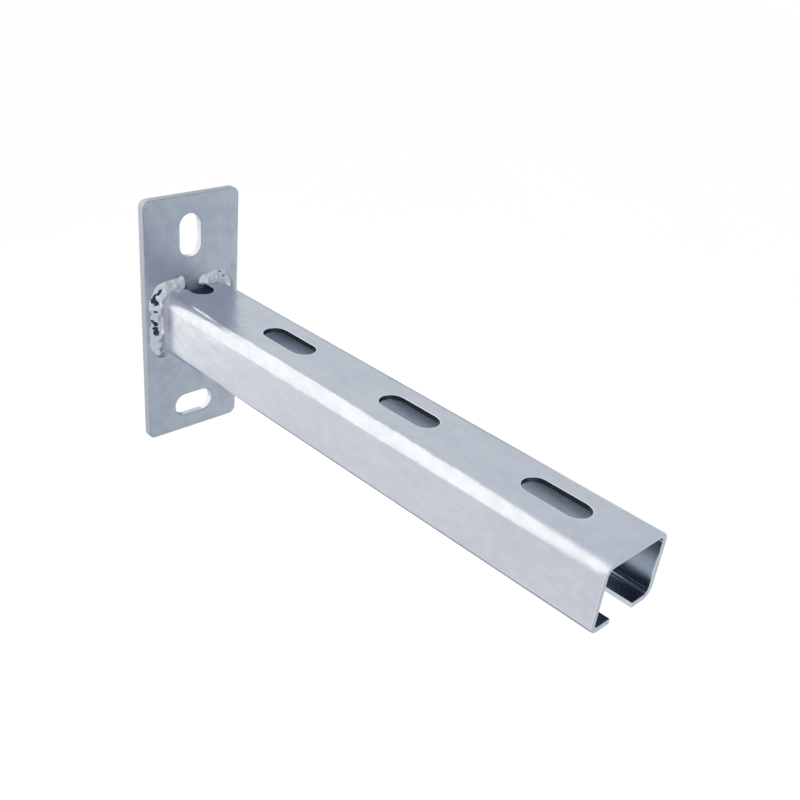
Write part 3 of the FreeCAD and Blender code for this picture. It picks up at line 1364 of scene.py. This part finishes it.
@dataclass(frozen=True)
class Studio:
    """A plain pale floor, a pale room, a soft lamp, and a glowing screen for painted reflections.
    """

    lamp: Lamp = Lamp()
    floor_height: float = -0.62
    floor_half: float = 8.0
    floor_tone: float = 0.96
    floor_drift: float = 0.02
    floor_cloud: float = 0.4
    floor_roughness: Span = (0.8, 0.9)
    floor_smear: float = 0.3
    floor_grain: float = 10 * MM
    floor_grain_height: float = 0.02 * MM
    floor_white: float = 0.85
    room_light: float = 1.0
    # Tones of the glowing screen, seen only in reflections: painted reflections, with painted shade
    # low beside the arm and a painted shadow of the arm under it.
    screen_left: Colour = (0.84, 0.87, 0.88)
    screen_right: Colour = (0.57, 0.62, 0.66)
    screen_low: Colour = (0.35, 0.39, 0.43)
    screen_shadow: Colour = (0.20, 0.23, 0.27)
    screen_distance: float = 0.30
    screen_bend: float = 0.12
    screen_front: float = -0.02
    screen_begin: float = -0.52
    screen_end: float = 1.6
    screen_top: float = 1.3
    screen_lift: float = 2 * MM
    to_right: Span = (0.04, 0.54)
    to_back: Span = (0.10, 0.20)
    low_part: Span = (-0.02, 0.13)
    beside_arm: Span = (0.04, 0.12)

    def build(self) -> None:
        """Makes the floor, the screen, the room and the lamp.

        The room is even white light from all round, which is also what metal shows where nothing
        else stands.
        """
        self.build_floor()
        self.build_screen()
        world = bpy.data.worlds.new("room")
        world.use_nodes = True
        room = world.node_tree.nodes["Background"]
        room.inputs["Color"].default_value = WHITE
        room.inputs["Strength"].default_value = self.room_light
        bpy.context.scene.world = world
        self.lamp.build()

    def build_floor(self) -> None:
        """A level sheet far below the arm, in a pale matt finish with a faint drift of tone."""
        edge = np.linspace(-self.floor_half, self.floor_half, 3)
        work = Patchwork()
        work.lay(points(edge, edge[:, None], self.floor_height))
        floor = work.sew("floor")
        canvas = Canvas("pale_floor", (self.floor_tone,) * 3, metallic=0.0)
        drift = canvas.ramp(canvas.noise(self.floor_cloud), (0.3, 0.7))
        canvas.tint(drift, (self.floor_tone + self.floor_drift,) * 3)
        smears = canvas.noise(self.floor_smear)
        canvas.roughness = canvas.ramp(smears, (0.0, 1.0), *self.floor_roughness)
        canvas.finish(canvas.bump(canvas.noise(self.floor_grain), self.floor_grain_height))
        path = canvas.node("ShaderNodeLightPath", {}).outputs
        rays = [path[f"Is {kind} Ray"] for kind in ("Camera", "Glossy", "Transmission")]
        white = canvas.node("ShaderNodeEmission", {"Color": WHITE, "Strength": 1.0}).outputs[0]
        share = canvas.maths("MULTIPLY", canvas.maths("MAXIMUM", *rays), self.floor_white)
        inputs = {0: share, 1: canvas.surface.outputs[0], 2: white}
        both = canvas.node("ShaderNodeMixShader", inputs).outputs[0]
        canvas.tree.links.new(both, canvas.tree.nodes["Material Output"].inputs["Surface"])
        floor.data.materials.append(canvas.material)

    def build_screen(self) -> None:
        """A glowing screen for painted reflections: it lies on the floor and sweeps up a quarter
        circle.
        """
        angle = sweep(ROUND_STEPS)
        bend = self.screen_distance - self.screen_bend * (1 - np.sin(angle))
        rise = self.floor_height + self.screen_bend * (1 - np.cos(angle)) + self.screen_lift
        across = np.concatenate([[self.screen_front], bend, [self.screen_distance]])[:, None]
        up = np.concatenate([rise[:1], rise, [self.screen_top]])[:, None]
        work = Patchwork()
        work.lay(points(np.array([self.screen_begin, self.screen_end]), across, up))
        screen = work.sew("glowing_reflection_screen")
        canvas = Canvas("glowing_reflection_screen", self.screen_left, metallic=0.0)
        sockets = canvas.surface.inputs
        # It glows in its own colour and shows only in reflections.
        sockets["Base Color"].default_value = (0.0, 0.0, 0.0, 1.0)
        sockets["Specular IOR Level"].default_value = 0.0
        sockets["Emission Strength"].default_value = 1.0
        # Painted reflections: darker to the right, painted shade low near the wall, painted shadow
        # under the arm.
        canvas.tint(canvas.ramp("X", self.to_right), self.screen_right)
        low = canvas.ramp("Z", self.low_part, 1.0, 0.0)
        beside_arm = canvas.ramp("X", self.beside_arm, 1.0, 0.0)
        canvas.tint(canvas.maths("MULTIPLY", low, beside_arm), self.screen_low)
        canvas.tint(canvas.ramp("Y", self.to_back, 1.0, 0.0), self.screen_shadow)
        canvas.tree.links.new(canvas.colour, sockets["Emission Color"])
        screen.data.materials.append(canvas.material)
        screen.visible_camera = False
        screen.visible_diffuse = False
        screen.visible_shadow = False
        screen.visible_transmission = False


def main() -> None:
    """Builds the camera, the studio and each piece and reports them."""
    logging.basicConfig(level=logging.INFO, format="%(message)s")
    scene = bpy.context.scene
    scene.view_settings.view_transform = "Standard"
    CameraRig().build()
    Studio().build()
    WallPlate().build()
    channel = StrutChannel()
    channel.build()
    near = {"seed": 11, "begin_round": 4.2 * MM, "knob": 0.05, "spots": NEAR_SPOTS}
    far = {"seed": 29, "begin_round": 6.0 * MM, "knob": 0.0, "spots": FAR_SPOTS}
    for side, form in ((Side.NEAR, near), (Side.FAR, far)):
        WeldBead(side, channel.fold, channel.begin, **form).build()


if __name__ == "__main__":
    main()
